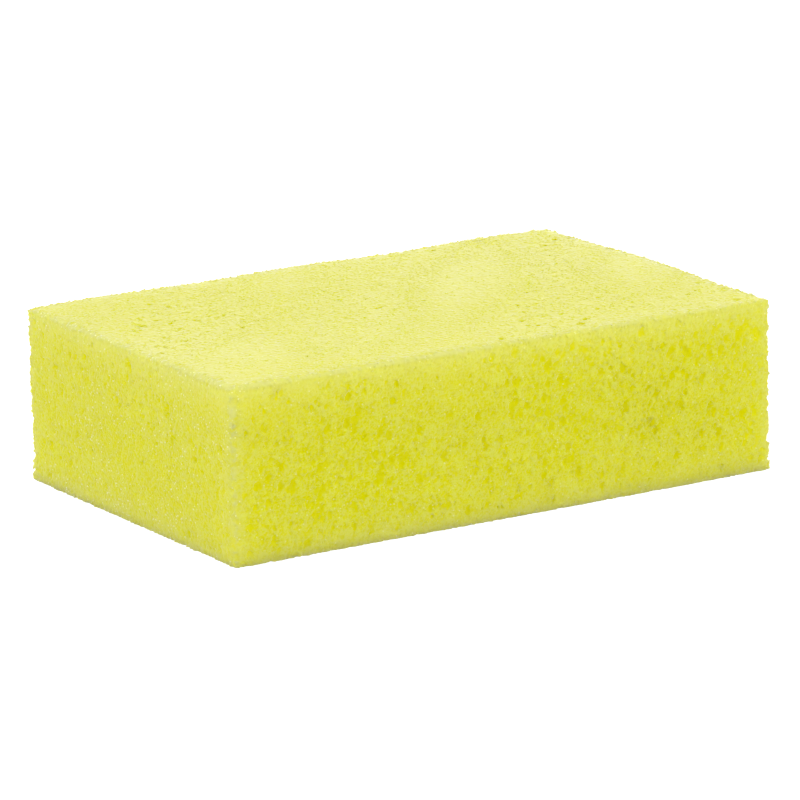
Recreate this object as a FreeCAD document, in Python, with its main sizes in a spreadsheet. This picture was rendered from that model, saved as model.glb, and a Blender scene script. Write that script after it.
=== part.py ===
import FreeCAD, Part
import os

import Sketcher

# A block of open-cell foam, as a sponge for decorating and cleaning: one piece, cut from a
# larger slab and used as it is. It lies on one of its two broad faces.
# The origin is the middle of the underside, +X runs along the block and +Z points up.

NODE = "foam_block"

# Driving dimensions in millimetres.
DIMENSIONS = (
    ("block_length", 195),
    ("block_width", 125),
    ("block_height", 55),
    ("arris_radius", 1.2),
)

BLOCK_EDGES = 12
SIZE_TOLERANCE = 1e-4

# A sketch names the ends of a line, and its own origin, by number.
LINE_START, LINE_END = 1, 2
SKETCH_ORIGIN = (-1, 1)


def make_sheet(doc):
    sheet = doc.addObject("Spreadsheet::Sheet", "Dimensions")
    for row, (alias, value) in enumerate(DIMENSIONS, start=1):
        sheet.set(f"A{row}", alias)
        sheet.set(f"B{row}", str(value))
        sheet.setAlias(f"B{row}", alias)
    doc.recompute()
    return sheet


def origin_plane(body, role):
    return next(item for item in body.Origin.OriginFeatures if item.Role == role)


def draw_outline(sketch, sheet):
    """The block in plan: a rectangle about the origin, sized by the sheet."""
    half_length, half_width = sheet.block_length / 2, sheet.block_width / 2
    corners = [
        FreeCAD.Vector(-half_length, -half_width, 0),
        FreeCAD.Vector(half_length, -half_width, 0),
        FreeCAD.Vector(half_length, half_width, 0),
        FreeCAD.Vector(-half_length, half_width, 0),
    ]
    sides = [
        sketch.addGeometry(Part.LineSegment(corner, corners[(i + 1) % len(corners)]), False)
        for i, corner in enumerate(corners)
    ]
    front, right, back, left = sides
    for i, side in enumerate(sides):
        following = sides[(i + 1) % len(sides)]
        sketch.addConstraint(Sketcher.Constraint("Coincident", side, LINE_END, following, LINE_START))
    for side in (front, back):
        sketch.addConstraint(Sketcher.Constraint("Horizontal", side))
    for side in (right, left):
        sketch.addConstraint(Sketcher.Constraint("Vertical", side))
    sketch.addConstraint(
        Sketcher.Constraint("Symmetric", front, LINE_START, back, LINE_START, *SKETCH_ORIGIN)
    )
    for kind, side, alias in (("DistanceX", front, "block_length"), ("DistanceY", right, "block_width")):
        size = Sketcher.Constraint(kind, side, LINE_START, side, LINE_END, sheet.get(alias))
        sketch.renameConstraint(sketch.addConstraint(size), alias)
        sketch.setExpression(f"Constraints.{alias}", f"{sheet.Name}.{alias}")


def make_block(doc, sheet):
    body = doc.addObject("PartDesign::Body", "FoamBlock")
    body.Label = NODE

    outline = body.newObject("Sketcher::SketchObject", "Outline")
    outline.AttachmentSupport = [(origin_plane(body, "XY_Plane"), "")]
    outline.MapMode = "FlatFace"
    draw_outline(outline, sheet)

    slab = body.newObject("PartDesign::Pad", "Slab")
    slab.Profile = outline
    slab.setExpression("Length", f"{sheet.Name}.block_height")
    doc.recompute()

    # A saw leaves foam with its arrises barely broken, alike all round.
    arrises = body.newObject("PartDesign::Fillet", "Arrises")
    arrises.Base = (slab, [f"Edge{number}" for number in range(1, BLOCK_EDGES + 1)])
    arrises.setExpression("Radius", f"{sheet.Name}.arris_radius")
    doc.recompute()

    body.Placement = FreeCAD.Placement()
    return body


def check_document(doc):
    for item in doc.Objects:
        faults = sorted({"Invalid", "Error"} & set(item.State))
        if faults:
            raise RuntimeError(f"{item.Label}: {', '.join(faults)}")


def check_block(body, sheet):
    shape = body.Shape
    if shape.isNull() or not shape.isValid() or len(shape.Solids) != 1:
        raise RuntimeError(f"{body.Label} isn't one valid solid")
    box = shape.BoundBox
    found = (box.XLength, box.YLength, box.ZLength, box.Center.x, box.Center.y, box.ZMin)
    wanted = (sheet.block_length, sheet.block_width, sheet.block_height, 0, 0, 0)
    if any(abs(a - b) > SIZE_TOLERANCE for a, b in zip(found, wanted)):
        raise RuntimeError(f"{body.Label} has the wrong size or place: {found}")


def main():
    doc = FreeCAD.newDocument("FoamBlock")
    sheet = make_sheet(doc)
    block = make_block(doc, sheet)
    doc.recompute()
    check_document(doc)
    check_block(block, sheet)
    os.makedirs("parts", exist_ok=True)
    block.Shape.exportStep(f"parts/{block.Label}.step")
    print(f"{block.Label}: {block.Shape.Volume / 1000:.1f} cm3, {len(block.Shape.Faces)} faces")


main()
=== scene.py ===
import math

import bpy
import numpy as np
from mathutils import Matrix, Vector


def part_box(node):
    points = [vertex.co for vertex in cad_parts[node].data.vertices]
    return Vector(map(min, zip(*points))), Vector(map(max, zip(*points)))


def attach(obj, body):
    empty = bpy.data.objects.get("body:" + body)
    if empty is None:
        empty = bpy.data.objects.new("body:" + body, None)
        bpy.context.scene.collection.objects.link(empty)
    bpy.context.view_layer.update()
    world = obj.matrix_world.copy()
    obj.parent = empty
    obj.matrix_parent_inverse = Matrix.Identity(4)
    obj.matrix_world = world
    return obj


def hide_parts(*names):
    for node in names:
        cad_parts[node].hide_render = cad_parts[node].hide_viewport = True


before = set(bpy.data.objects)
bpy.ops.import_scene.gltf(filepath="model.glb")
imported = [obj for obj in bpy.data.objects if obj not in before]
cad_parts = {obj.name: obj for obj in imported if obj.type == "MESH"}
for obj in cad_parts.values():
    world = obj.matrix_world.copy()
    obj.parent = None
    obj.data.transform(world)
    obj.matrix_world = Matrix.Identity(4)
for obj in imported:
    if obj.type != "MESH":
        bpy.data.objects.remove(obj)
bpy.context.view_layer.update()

import openvdb
from mathutils import Euler, Matrix, Vector

# A yellow block of open-cell foam. Its skin is modelled cell by cell: a distance field of the block,
# with the cells that the saw opened taken out of it, turned into one closed mesh.
# The field is in millimetres, in the frame of the CAD block, and everything in Blender is in metres.

NODE = "foam_block"
MM = 0.001


# ---- the foam's field ---------------------------------------------------------------------------

VOXEL = 0.4           # the grid's pitch
CLIP = 3              # the field is cut off this many voxels from the surface
SKIN = 5.0            # how deep the fine cells are worked out
STAND_OUT = 0.55      # how far the faces are moved out of the CAD block's, since the cells cut them back
ARRIS_RADIUS = 1.2
WAVE_HEIGHT = 0.12    # how far each of the saw's waves moves a face
WAVES = 5
WAVE_LENGTHS = (35.0, 110.0)

CELL_PITCH = (0.85, 0.85, 1.0)   # the fine cells, a little taller than wide
CELL_RADIUS = 0.6
CELL_DEPTH = 0.9      # how deep a fine cell is, against its radius
CELL_JITTER = 0.8     # the width that a cell's middle is spread over, against the pitch
FLAT_SHARE = 0.25     # how deep the fine cells are in the top and the underside, against the sides
FLAT_REACH = 2.5
STRUT_PITCH = (1.15, 1.15, 1.15)   # the ends of cut struts, which stand out of the faces
STRUT_REACH = 0.5
FRAY = 1.0            # how much more the cells and struts show at an arris, where the saw tore them
TEAR_PITCH = (2.2, 2.2, 2.6)   # the bites that it tore out of the arrises
TEAR_RADIUS = 1.35
TEAR_DEPTH = 1.9      # how deep a bite is, against its radius
TEAR_REACH = 3.2
TEAR_LEVEL = 0.35     # how deep the bites are in the level arrises, against the upright ones
FLOOR_GAP = 0.15      # the underside ends this far over the floor

# Families of larger pores: how many open in a square millimetre of a face, half their width
# along the block, and the spread of that.
PORES = ((0.024, 1.0, 0.15), (0.07, 0.6, 0.2), (0.2, 0.38, 0.15))
PORE_FLATNESS = 0.8   # a pore's width across the block, against along it
PORE_HEIGHT = 1.4     # the foam rose as it was blown, so its pores stand tall
PORE_LEAN = 14.0
PORE_LEAN_SPREAD = 14.0
PORE_SINK = (-0.3, 0.45)   # how far a pore's middle lies under the face, against its radius there
PORE_MARGIN = 3.5     # no larger pores open this close to an arris
FACE_SHARE = (0.4, 1.0, 0.04)   # pores on the faces across X, Y and Z, against the count above
FACE_SIZE = (0.75, 1.0, 0.75)   # and how wide those pores are, against the width above

HASH_PRIMES = np.array([73856093, 19349663, 83492791], np.uint32)
HASH_MIXER = np.uint32(1274126177)
HASH_BITS = 10        # how many of the hash's bits place a cell along each axis


class Grid:
    """A regular grid round the block, with the coordinates of its lines in millimetres."""

    def __init__(self, low, high, pitch):
        margin = CLIP * pitch
        self.pitch = pitch
        self.low = low - margin
        self.count = np.ceil((high - low + 2 * margin) / pitch).astype(int) + 1
        self.lines = [
            (start + pitch * np.arange(count)).astype(np.float32)
            for start, count in zip(self.low, self.count)
        ]

    def open_lines(self):
        return self.lines[0][:, None, None], self.lines[1][None, :, None], self.lines[2][None, None, :]

    def window(self, low, high):
        """The slices of the grid that a box from low to high covers."""
        first = np.maximum(np.floor((low - self.low) / self.pitch).astype(int), 0)
        last = np.minimum(np.ceil((high - self.low) / self.pitch).astype(int) + 1, self.count)
        return tuple(slice(a, b) for a, b in zip(first, last))


def block_field(places, low, high):
    """Signed distance to the block with its arrises rounded, negative inside."""
    middle, half = (low + high) / 2, (high - low) / 2
    over = [
        np.abs(place - centre) - (reach - ARRIS_RADIUS)
        for place, centre, reach in zip(places, middle, half)
    ]
    inside = np.minimum(np.maximum(np.maximum(over[0], over[1]), over[2]), 0)
    outside = np.sqrt(sum(np.maximum(axis, 0) ** 2 for axis in over))
    return (inside + outside - ARRIS_RADIUS).astype(np.float32)


def draw_waves(rng):
    """The saw's wander: a few long waves in random directions, each with its phase."""
    waves = []
    for _ in range(WAVES):
        direction = rng.normal(size=3)
        direction /= np.linalg.norm(direction)
        turns = 2 * math.pi / rng.uniform(*WAVE_LENGTHS)
        waves.append(((direction * turns).astype(np.float32), rng.uniform(0, 2 * math.pi)))
    return waves


def saw_waves(points, waves):
    """How far the saw cut inside the block's nominal faces at each point."""
    return sum(WAVE_HEIGHT * np.sin(points @ turning + phase) for turning, phase in waves)


def lattice_hash(cells):
    """A repeatable random integer for each cell of a lattice."""
    mixed = np.bitwise_xor.reduce(cells.astype(np.uint32) * HASH_PRIMES, axis=1)
    mixed ^= mixed >> np.uint32(13)
    mixed *= HASH_MIXER
    return mixed ^ (mixed >> np.uint32(16))


def nearest_cell(points, pitch, jitter):
    """Distance from each point to the nearest of one jittered point per lattice cell."""
    pitch = np.array(pitch, np.float32)
    place = points / pitch - np.float32(0.5)
    corner = np.floor(place).astype(np.int32)
    nearest = np.full(len(points), np.inf, np.float32)
    highest = 2**HASH_BITS - 1
    for step in np.ndindex(2, 2, 2):
        cell = corner + np.array(step, np.int32)
        number = lattice_hash(cell)
        squared = np.zeros(len(points), np.float32)
        for axis in range(3):
            bits = (number >> np.uint32(HASH_BITS * axis)) & np.uint32(highest)
            moved = (bits.astype(np.float32) / highest - 0.5) * jitter
            squared += ((place[:, axis] - cell[:, axis] - moved) * pitch[axis]) ** 2
        np.minimum(nearest, squared, out=nearest)
    return np.sqrt(nearest)


def roughen(field, grid, low, high, waves):
    """Moves the surface by the saw's waves, the cells and struts that it cut, and what it tore out."""
    near = np.flatnonzero((field > -SKIN) & (field < CLIP * grid.pitch))
    index = np.unravel_index(near, field.shape)
    points = np.stack([line[i] for line, i in zip(grid.lines, index)], axis=1)
    bowls = np.clip(CELL_RADIUS - nearest_cell(points, CELL_PITCH, CELL_JITTER), 0, None) * CELL_DEPTH
    under = np.minimum(points - low, high - points)
    bowls *= FLAT_SHARE + (1 - FLAT_SHARE) * np.clip(under[:, 2] / FLAT_REACH, 0, 1)
    struts = np.clip(STRUT_REACH - nearest_cell(points, STRUT_PITCH, CELL_JITTER), 0, None)
    torn = np.clip(1 - np.sort(under, axis=1)[:, 1] / TEAR_REACH, 0, 1)
    tears = np.clip(TEAR_RADIUS - nearest_cell(points, TEAR_PITCH, CELL_JITTER), 0, None) * TEAR_DEPTH
    upright = np.clip(1 - np.maximum(under[:, 0], under[:, 1]) / TEAR_REACH, 0, 1)
    tears *= np.maximum(TEAR_LEVEL * torn, upright)
    field.ravel()[near] += saw_waves(points, waves) + (bowls - struts) * (1 + FRAY * torn) + tears


def pores_of_a_face(axis, end, low, high, family, rng):
    """The pores that open in one face: their middles, radii and leans, at random."""
    density, half_width, spread = family
    area = np.prod(np.delete(high - low, axis))
    count = int(density * area * FACE_SHARE[axis])
    widths = half_width * FACE_SIZE[axis] * np.exp(rng.normal(0, spread, count))
    radii = widths[:, None] * np.array([1, PORE_FLATNESS, PORE_HEIGHT])
    leans = np.radians(rng.normal(PORE_LEAN, PORE_LEAN_SPREAD, count))
    middles = rng.uniform(low + PORE_MARGIN, high - PORE_MARGIN, (count, 3))
    sink = rng.uniform(*PORE_SINK, count) * radii[:, axis]
    middles[:, axis] = high[axis] - sink if end else low[axis] + sink
    return zip(middles, radii, leans)


def open_pores(field, grid, low, high, rng):
    """Takes the larger pores out of the block: leaning ellipsoids that open in its faces."""
    for family in PORES:
        for axis, end in np.ndindex(3, 2):
            for middle, radii, lean in pores_of_a_face(axis, end, low, high, family, rng):
                reach = radii.max() + grid.pitch
                window = grid.window(middle - reach, middle + reach)
                x, y, z = (
                    line[part] - centre for line, part, centre in zip(grid.lines, window, middle)
                )
                x, y, z = x[:, None, None], y[None, :, None], z[None, None, :]
                across = x * math.cos(lean) - z * math.sin(lean)
                along = x * math.sin(lean) + z * math.cos(lean)
                ratio = np.sqrt((across / radii[0]) ** 2 + (y / radii[1]) ** 2 + (along / radii[2]) ** 2)
                np.maximum(field[window], (1 - ratio) * radii.min(), out=field[window])


def field_to_mesh(field, grid, name):
    """The field's zero surface as one mesh, in metres, with outward faces and smooth shading."""
    limit = CLIP * grid.pitch
    volume = openvdb.FloatGrid(limit)
    volume.copyFromArray(np.clip(field, -limit, limit), tolerance=1e-4)
    points, quads = volume.convertToQuads(0.0)
    places = (np.asarray(points) * grid.pitch + grid.low) * MM
    mesh = bpy.data.meshes.new(name)
    mesh.vertices.add(len(places))
    mesh.vertices.foreach_set("co", places.astype(np.float32).ravel())
    mesh.loops.add(4 * len(quads))
    mesh.loops.foreach_set("vertex_index", np.asarray(quads, np.int32)[:, ::-1].ravel())
    mesh.polygons.add(len(quads))
    mesh.polygons.foreach_set("loop_start", np.arange(0, 4 * len(quads), 4, dtype=np.int32))
    mesh.update(calc_edges=True)
    mesh.shade_smooth()
    return mesh


# ---- what the material reads from the mesh ------------------------------------------------------

def write_number(mesh, name, values):
    mesh.attributes.new(name, "FLOAT", "POINT").data.foreach_set("value", values.astype(np.float32))


def read_places(mesh):
    places = np.empty(3 * len(mesh.vertices), np.float32)
    mesh.vertices.foreach_get("co", places)
    return places.reshape(-1, 3) / MM


def describe_skin(mesh, low, high, waves):
    """Writes what the material reads: each point's depth, its cell, and how near the arrises it is."""
    places = read_places(mesh)
    write_number(mesh, "pore_depth", -block_field(places.T, low, high) - saw_waves(places, waves))
    hollow = np.clip(CELL_RADIUS - nearest_cell(places, CELL_PITCH, CELL_JITTER), 0, None) / CELL_RADIUS
    write_number(mesh, "cell_hollow", hollow)
    under = np.maximum(np.minimum(places - low, high - places), 0)
    write_number(mesh, "top_distance", np.maximum(high[2] - places[:, 2], 0))
    write_number(mesh, "end_distance", under[:, 0])
    nearest = np.sort(under, axis=1)
    write_number(mesh, "arris_distance", np.hypot(nearest[:, 0], nearest[:, 1]))


ISLAND_GAP = 4.0      # between the faces on the map, in the block's millimetres


def unfold(mesh, low, high):
    """A UV map of six islands, one for each face of the block, for baking the material."""
    length, width, height = high - low
    column = ISLAND_GAP + width
    row = ISLAND_GAP + length
    # For each face, by axis and end: the axes that run along U and V, and its island's low corner.
    islands = {
        (2, 1): (1, 0, 0, 0),
        (2, 0): (1, 0, column, 0),
        (0, 0): (2, 1, 2 * column, 0),
        (0, 1): (2, 1, 2 * column, column),
        (1, 0): (0, 2, 0, row),
        (1, 1): (0, 2, 0, row + height + ISLAND_GAP),
    }
    reach = max(2 * column + height, row + 2 * height + ISLAND_GAP) + 2 * ISLAND_GAP
    places = read_places(mesh)
    corners = np.empty(len(mesh.loops), np.int32)
    mesh.loops.foreach_get("vertex_index", corners)
    quads = places[corners].reshape(-1, 4, 3)
    centres = quads.mean(axis=1)
    nearest = np.argmin(np.hstack([centres - low, high - centres]), axis=1)
    spots = np.empty((len(quads), 4, 2), np.float32)
    for (axis, end), (along_u, along_v, left, bottom) in islands.items():
        part = nearest == axis + 3 * end
        spots[part, :, 0] = quads[part][:, :, along_u] - low[along_u] + left
        spots[part, :, 1] = quads[part][:, :, along_v] - low[along_v] + bottom
    mesh.uv_layers.new(name="OFBake").data.foreach_set("uv", ((spots + ISLAND_GAP) / reach).ravel())


# ---- material -----------------------------------------------------------------------------------

class Tree:
    """Adds nodes to a material: each call gives a node's output, ready to feed the next."""

    def __init__(self, name):
        self.material = bpy.data.materials.new(name)
        self.material.use_nodes = True
        self.nodes = self.material.node_tree.nodes
        self.links = self.material.node_tree.links
        self.shader = self.nodes["Principled BSDF"]

    def feed(self, socket, value):
        if isinstance(value, bpy.types.NodeSocket):
            self.links.new(value, socket)
        else:
            socket.default_value = value

    def add(self, kind, output=0, settings=None, **inputs):
        node = self.nodes.new(kind)
        for name, value in (settings or {}).items():
            setattr(node, name, value)
        for name, value in inputs.items():
            self.feed(node.inputs[name.replace("_", " ")], value)
        return node.outputs[output]

    def attribute(self, name):
        return self.add("ShaderNodeAttribute", "Fac", {"attribute_name": name})

    def ramp(self, value, low, high, start=0.0, end=1.0):
        return self.add(
            "ShaderNodeMapRange", settings={"interpolation_type": "SMOOTHSTEP"},
            Value=value, From_Min=low, From_Max=high, To_Min=start, To_Max=end,
        )

    def math(self, operation, *values):
        node = self.nodes.new("ShaderNodeMath")
        node.operation = operation
        for socket, value in zip(node.inputs, values):
            self.feed(socket, value)
        return node.outputs[0]

    def fade(self, distance, length, start):
        """A value that starts at the given one and falls off with distance."""
        falling = self.math("EXPONENT", self.math("MULTIPLY", distance, -1 / length))
        return self.math("MULTIPLY", falling, start)

    def blend(self, amount, first, second):
        node = self.nodes.new("ShaderNodeMix")
        node.data_type = "RGBA"
        self.feed(node.inputs["Factor"], amount)
        self.feed(node.inputs["A"], first)
        self.feed(node.inputs["B"], second)
        return node.outputs["Result"]


YELLOW = (0.80, 0.77, 0.006, 1)
RIM_AND_SHINE_YELLOW = (0.84, 0.83, 0.12, 1)      # the fine cells' rims: partly their own paler tone, partly painted reflection off their membranes
# painted sheen: the top a little paler, as light glancing off it makes it
TOP_SHINE_YELLOW = (0.82, 0.81, 0.40, 1)
LIT_BAND_YELLOW = (0.97, 0.96, 0.30, 1)      # painted light: a lighter band under the top's arrises, where overhead light comes through the foam
ARRIS_LIT_GREY = (0.70, 0.70, 0.25, 1)       # a paler haze round every arris, painted light where light passes through the thin foam; and the crushed line along it
LINE_GREY = (0.73, 0.735, 0.36, 1)
BOUNCED_DEEP_YELLOW = (0.82, 0.795, 0.001, 1)    # inside the larger pores: painted light, the deeper yellow of light bounced deep in them
GLINT = (1.0, 1.0, 0.6, 1)               # struts that shine, and the ends of those that stand out

GRAIN_SIZE = 0.45 * MM
CLOUD_SIZE = 4.5 * MM
CLOUD_STRETCH = (1.0, 1.0, 0.45)         # the clouds stand tall, as the pores do
GLINT_SIZE = 0.7 * MM
GLINT_RARITY = 0.93                      # the share of glint cells that stay dull

# How far each colour reaches in millimetres, and how strong it starts.
TOP_SHINE_FADE = (3.4, 0.05)
LIT_BAND_FADE = (6.0, 0.32)
ARRIS_LIT_FADE = (3.4, 0.65)

# Ramps: the two values that each goes between, then what it gives there, which is 0 and 1 unless said.
# Those of the arrises, the top and the ends read a distance in millimetres, and so do the pores' depths.
RIM_RAMP = (0.6, 0.0)
CLOUD_RAMP = (0.3, 0.7, -0.1, 0.1)
HAZE_AND_SHINE_RAMP = (0.1, 0.95)
HAZE_AND_SHINE_NEAR_TOP = (0.5, 3.0, 0.55, 1.0)
LIT_BAND_START = (0.8, 2.5)
LINE_RAMP = (1.6, 0.6, 0.0, 0.35)
PORE_BOUNCE_RAMP = (0.25, 0.8)
PORE_BOUNCE_NEAR_ARRIS = (1.0, 6.0, 0.15, 0.85)
TIP_RAMP = (-0.1, -0.45, 0.0, 0.3)
RARITY_NEAR_END = (0.5, 4.0, -0.06, 0.0)
RARITY_NEAR_TOP = (0.5, 4.0, -0.09, 0.0)
GLINT_NEAR_END = (0.5, 4.0, 1.0, 0.55)


def haze_and_shine(tree, place, grain, from_top):
    """How pale the skin is: by its cells' rims, its grain and faint, tall clouds; partly the foam's own
    tone, partly painted reflection off its cell membranes.
    """
    tall = tree.add(
        "ShaderNodeMapping", "Vector", {"vector_type": "POINT"}, Vector=place, Scale=CLOUD_STRETCH
    )
    clouds = tree.add("ShaderNodeTexNoise", "Fac", Vector=tall, Scale=1 / CLOUD_SIZE, Detail=3.0)
    rim = tree.ramp(tree.attribute("cell_hollow"), *RIM_RAMP)
    pale_and_shine = tree.math("ADD", tree.math("MULTIPLY", rim, 0.5), tree.math("MULTIPLY", grain, 0.5))
    pale_and_shine = tree.math("ADD", pale_and_shine, tree.ramp(clouds, *CLOUD_RAMP))
    return tree.math("MULTIPLY", tree.ramp(pale_and_shine, *HAZE_AND_SHINE_RAMP), tree.ramp(from_top, *HAZE_AND_SHINE_NEAR_TOP))


def glints(tree, place, grain, from_top, depth):
    """Where single struts shine: a few in each face, more in the top and the ends, and their tips."""
    speck = tree.add("ShaderNodeTexVoronoi", "Distance", Vector=place, Scale=1 / GLINT_SIZE)
    chance = tree.add("ShaderNodeTexVoronoi", "Color", Vector=place, Scale=1 / GLINT_SIZE)
    chance = tree.add("ShaderNodeSeparateColor", 0, Color=chance)
    from_end = tree.attribute("end_distance")
    rare = tree.math("ADD", tree.ramp(from_end, *RARITY_NEAR_END), GLINT_RARITY)
    rare = tree.math("ADD", tree.ramp(from_top, *RARITY_NEAR_TOP), rare)
    glint = tree.math("MULTIPLY", tree.ramp(speck, 0.5, 0.25), tree.ramp(chance, rare, 1.0, 0.1, 1.0))
    glint = tree.math("MULTIPLY", glint, tree.math("GREATER_THAN", chance, rare))
    glint = tree.math("MULTIPLY", glint, tree.ramp(from_end, *GLINT_NEAR_END))
    tip = tree.math("MULTIPLY", tree.ramp(depth, *TIP_RAMP), tree.math("ADD", grain, 0.2))
    return tree.math("MAXIMUM", glint, tip)


def foam_material():
    """Yellow, with painted light: paler at the cells' rims, partly their own tone, on the top, under and
    round the arrises, with glints on struts and their ends, and deeper in the pores.
    """
    tree = Tree("foam")
    place = tree.add("ShaderNodeTexCoord", "Object")
    grain = tree.add("ShaderNodeTexNoise", "Fac", Vector=place, Scale=1 / GRAIN_SIZE, Detail=1.0)
    grain = tree.ramp(grain, 0.3, 0.7)
    from_top = tree.attribute("top_distance")
    arris = tree.attribute("arris_distance")
    depth = tree.attribute("pore_depth")

    # Painted reflection, in part: the cells' rims and grain paler, as their membranes shine white.
    colour = tree.blend(haze_and_shine(tree, place, grain, from_top), YELLOW, RIM_AND_SHINE_YELLOW)
    # Painted sheen: the top a little paler, as light glancing off it makes it.
    top_shine = tree.math("MULTIPLY", tree.fade(from_top, *TOP_SHINE_FADE), tree.math("ADD", grain, 0.1))
    colour = tree.blend(top_shine, colour, TOP_SHINE_YELLOW)
    # Painted light: the sides lighter under the top, as overhead light comes through the foam.
    lit_band = tree.math("MULTIPLY", tree.fade(from_top, *LIT_BAND_FADE), tree.ramp(from_top, *LIT_BAND_START))
    colour = tree.blend(lit_band, colour, LIT_BAND_YELLOW)
    # Painted light: paler round every arris, as light passes through the thin foam there.
    colour = tree.blend(tree.fade(arris, *ARRIS_LIT_FADE), colour, ARRIS_LIT_GREY)
    colour = tree.blend(tree.ramp(arris, *LINE_RAMP), colour, LINE_GREY)
    # Painted light: deeper yellow in the pores, as light bounced deep in them takes on more of the dye.
    pore_bounce = tree.math("MULTIPLY", tree.ramp(depth, *PORE_BOUNCE_RAMP), tree.ramp(arris, *PORE_BOUNCE_NEAR_ARRIS))
    colour = tree.blend(pore_bounce, colour, BOUNCED_DEEP_YELLOW)
    colour = tree.blend(glints(tree, place, grain, from_top, depth), colour, GLINT)
    tree.feed(tree.shader.inputs["Base Color"], colour)

    # Foam has no gloss. Red and green light wander through it, and blue is taken up where it lands.
    fixed = {
        "Roughness": 0.6,
        "IOR": 1.5,
        "Specular IOR Level": 0.0,
        "Sheen Weight": 1.0,
        "Sheen Roughness": 0.3,
        "Subsurface Weight": 1.0,
        "Subsurface Radius": (1.0, 0.97, 0.0075),
        "Subsurface Scale": 16 * MM,
    }
    for name, value in fixed.items():
        tree.shader.inputs[name].default_value = value
    return tree.material


# ---- the piece ----------------------------------------------------------------------------------

SEED = 20


def make_foam():
    rng = np.random.default_rng(SEED)
    low, high = (np.array(corner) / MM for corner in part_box(NODE))
    underside = low[2] + FLOOR_GAP
    low, high = low - STAND_OUT, high + STAND_OUT
    grid = Grid(low, high, VOXEL)
    field = block_field(grid.open_lines(), low, high)
    waves = draw_waves(rng)
    open_pores(field, grid, low, high, rng)
    roughen(field, grid, low, high, waves)
    np.maximum(field, underside - grid.open_lines()[2], out=field)
    mesh = field_to_mesh(field, grid, "foam_skin")
    describe_skin(mesh, low, high, waves)
    unfold(mesh, low, high)
    mesh.materials.append(foam_material())
    foam = bpy.data.objects.new("foam_sponge", mesh)
    bpy.context.scene.collection.objects.link(foam)
    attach(foam, "root")
    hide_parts(NODE)


# ---- studio -------------------------------------------------------------------------------------

VIEW_AZIMUTH = -32.1
VIEW_ELEVATION = 14.4
VIEW_ROLL = -0.9
VIEW_DISTANCE = 1.757
VIEW_LENS = 252.0
VIEW_AIM = Vector((-0.0004, -0.0007, 0.0244))

FLOOR_REACH = 6.0
FLOOR_GREY = (0.5, 0.5, 0.5, 1)
FLOOR_GLOW = 0.17     # keeps the floor from going dark round the block's foot

LIGHT_LEVEL = 2.15    # the world's strength up to the first of these elevations in degrees
LIGHT_ABOVE = 0.2     # and from the second one up
LIGHT_ELEVATIONS = (12, 25)
LAMP_PLACE = (-0.18, -0.22, 1.4)
LAMP_WIDTH = 1.2
LAMP_POWER = 11.4
WHITE = (1, 1, 1, 1)


def make_camera():
    azimuth, elevation = math.radians(VIEW_AZIMUTH), math.radians(VIEW_ELEVATION)
    upright = Euler((math.pi / 2 - elevation, 0, azimuth)).to_matrix()
    turn = upright @ Matrix.Rotation(math.radians(VIEW_ROLL), 3, "Z")
    data = bpy.data.cameras.new("camera")
    data.lens = VIEW_LENS
    camera = bpy.data.objects.new("camera", data)
    back = turn @ Vector((0, 0, 1))
    camera.matrix_world = Matrix.Translation(VIEW_AIM + VIEW_DISTANCE * back) @ turn.to_4x4()
    bpy.context.scene.collection.objects.link(camera)
    bpy.context.scene.camera = camera


def make_floor():
    """A pale floor, overexposed to plain white in the camera as a product photograph's is."""
    mesh = bpy.data.meshes.new("floor")
    signs = ((-1, -1), (1, -1), (1, 1), (-1, 1))
    mesh.from_pydata([(x * FLOOR_REACH, y * FLOOR_REACH, 0) for x, y in signs], [], [(0, 1, 2, 3)])
    tree = Tree("floor_white")
    tree.shader.inputs["Base Color"].default_value = FLOOR_GREY
    tree.shader.inputs["Roughness"].default_value = 1.0
    tree.shader.inputs["Specular IOR Level"].default_value = 0.0
    tree.shader.inputs["Emission Color"].default_value = WHITE
    seen = tree.add("ShaderNodeLightPath", "Is Camera Ray")
    tree.feed(tree.shader.inputs["Emission Strength"], tree.math("MAXIMUM", seen, FLOOR_GLOW))
    mesh.materials.append(tree.material)
    floor = bpy.data.objects.new("floor", mesh)
    bpy.context.scene.collection.objects.link(floor)


def make_world():
    """A white surround, brightest near the horizon."""
    world = bpy.data.worlds.new("studio")
    bpy.context.scene.world = world
    world.use_nodes = True
    nodes, links = world.node_tree.nodes, world.node_tree.links
    place = nodes.new("ShaderNodeTexCoord")
    split = nodes.new("ShaderNodeSeparateXYZ")
    ramp = nodes.new("ShaderNodeMapRange")
    ramp.interpolation_type = "SMOOTHSTEP"
    low, high = (math.sin(math.radians(elevation)) for elevation in LIGHT_ELEVATIONS)
    ramp.inputs["From Min"].default_value = low
    ramp.inputs["From Max"].default_value = high
    ramp.inputs["To Min"].default_value = LIGHT_LEVEL
    ramp.inputs["To Max"].default_value = LIGHT_ABOVE
    links.new(place.outputs["Generated"], split.inputs[0])
    links.new(split.outputs["Z"], ramp.inputs["Value"])
    links.new(ramp.outputs[0], nodes["Background"].inputs["Strength"])
    nodes["Background"].inputs["Color"].default_value = WHITE


def make_lamp():
    data = bpy.data.lights.new("overhead", "AREA")
    data.shape = "RECTANGLE"
    data.size = data.size_y = LAMP_WIDTH
    data.energy = LAMP_POWER
    lamp = bpy.data.objects.new("overhead", data)
    lamp.location = LAMP_PLACE
    lamp.rotation_euler = Vector(LAMP_PLACE).to_track_quat("Z", "Y").to_euler()
    bpy.context.scene.collection.objects.link(lamp)


make_camera()
make_floor()
make_world()
make_lamp()
make_foam()
bpy.context.scene.view_settings.view_transform = "Standard"
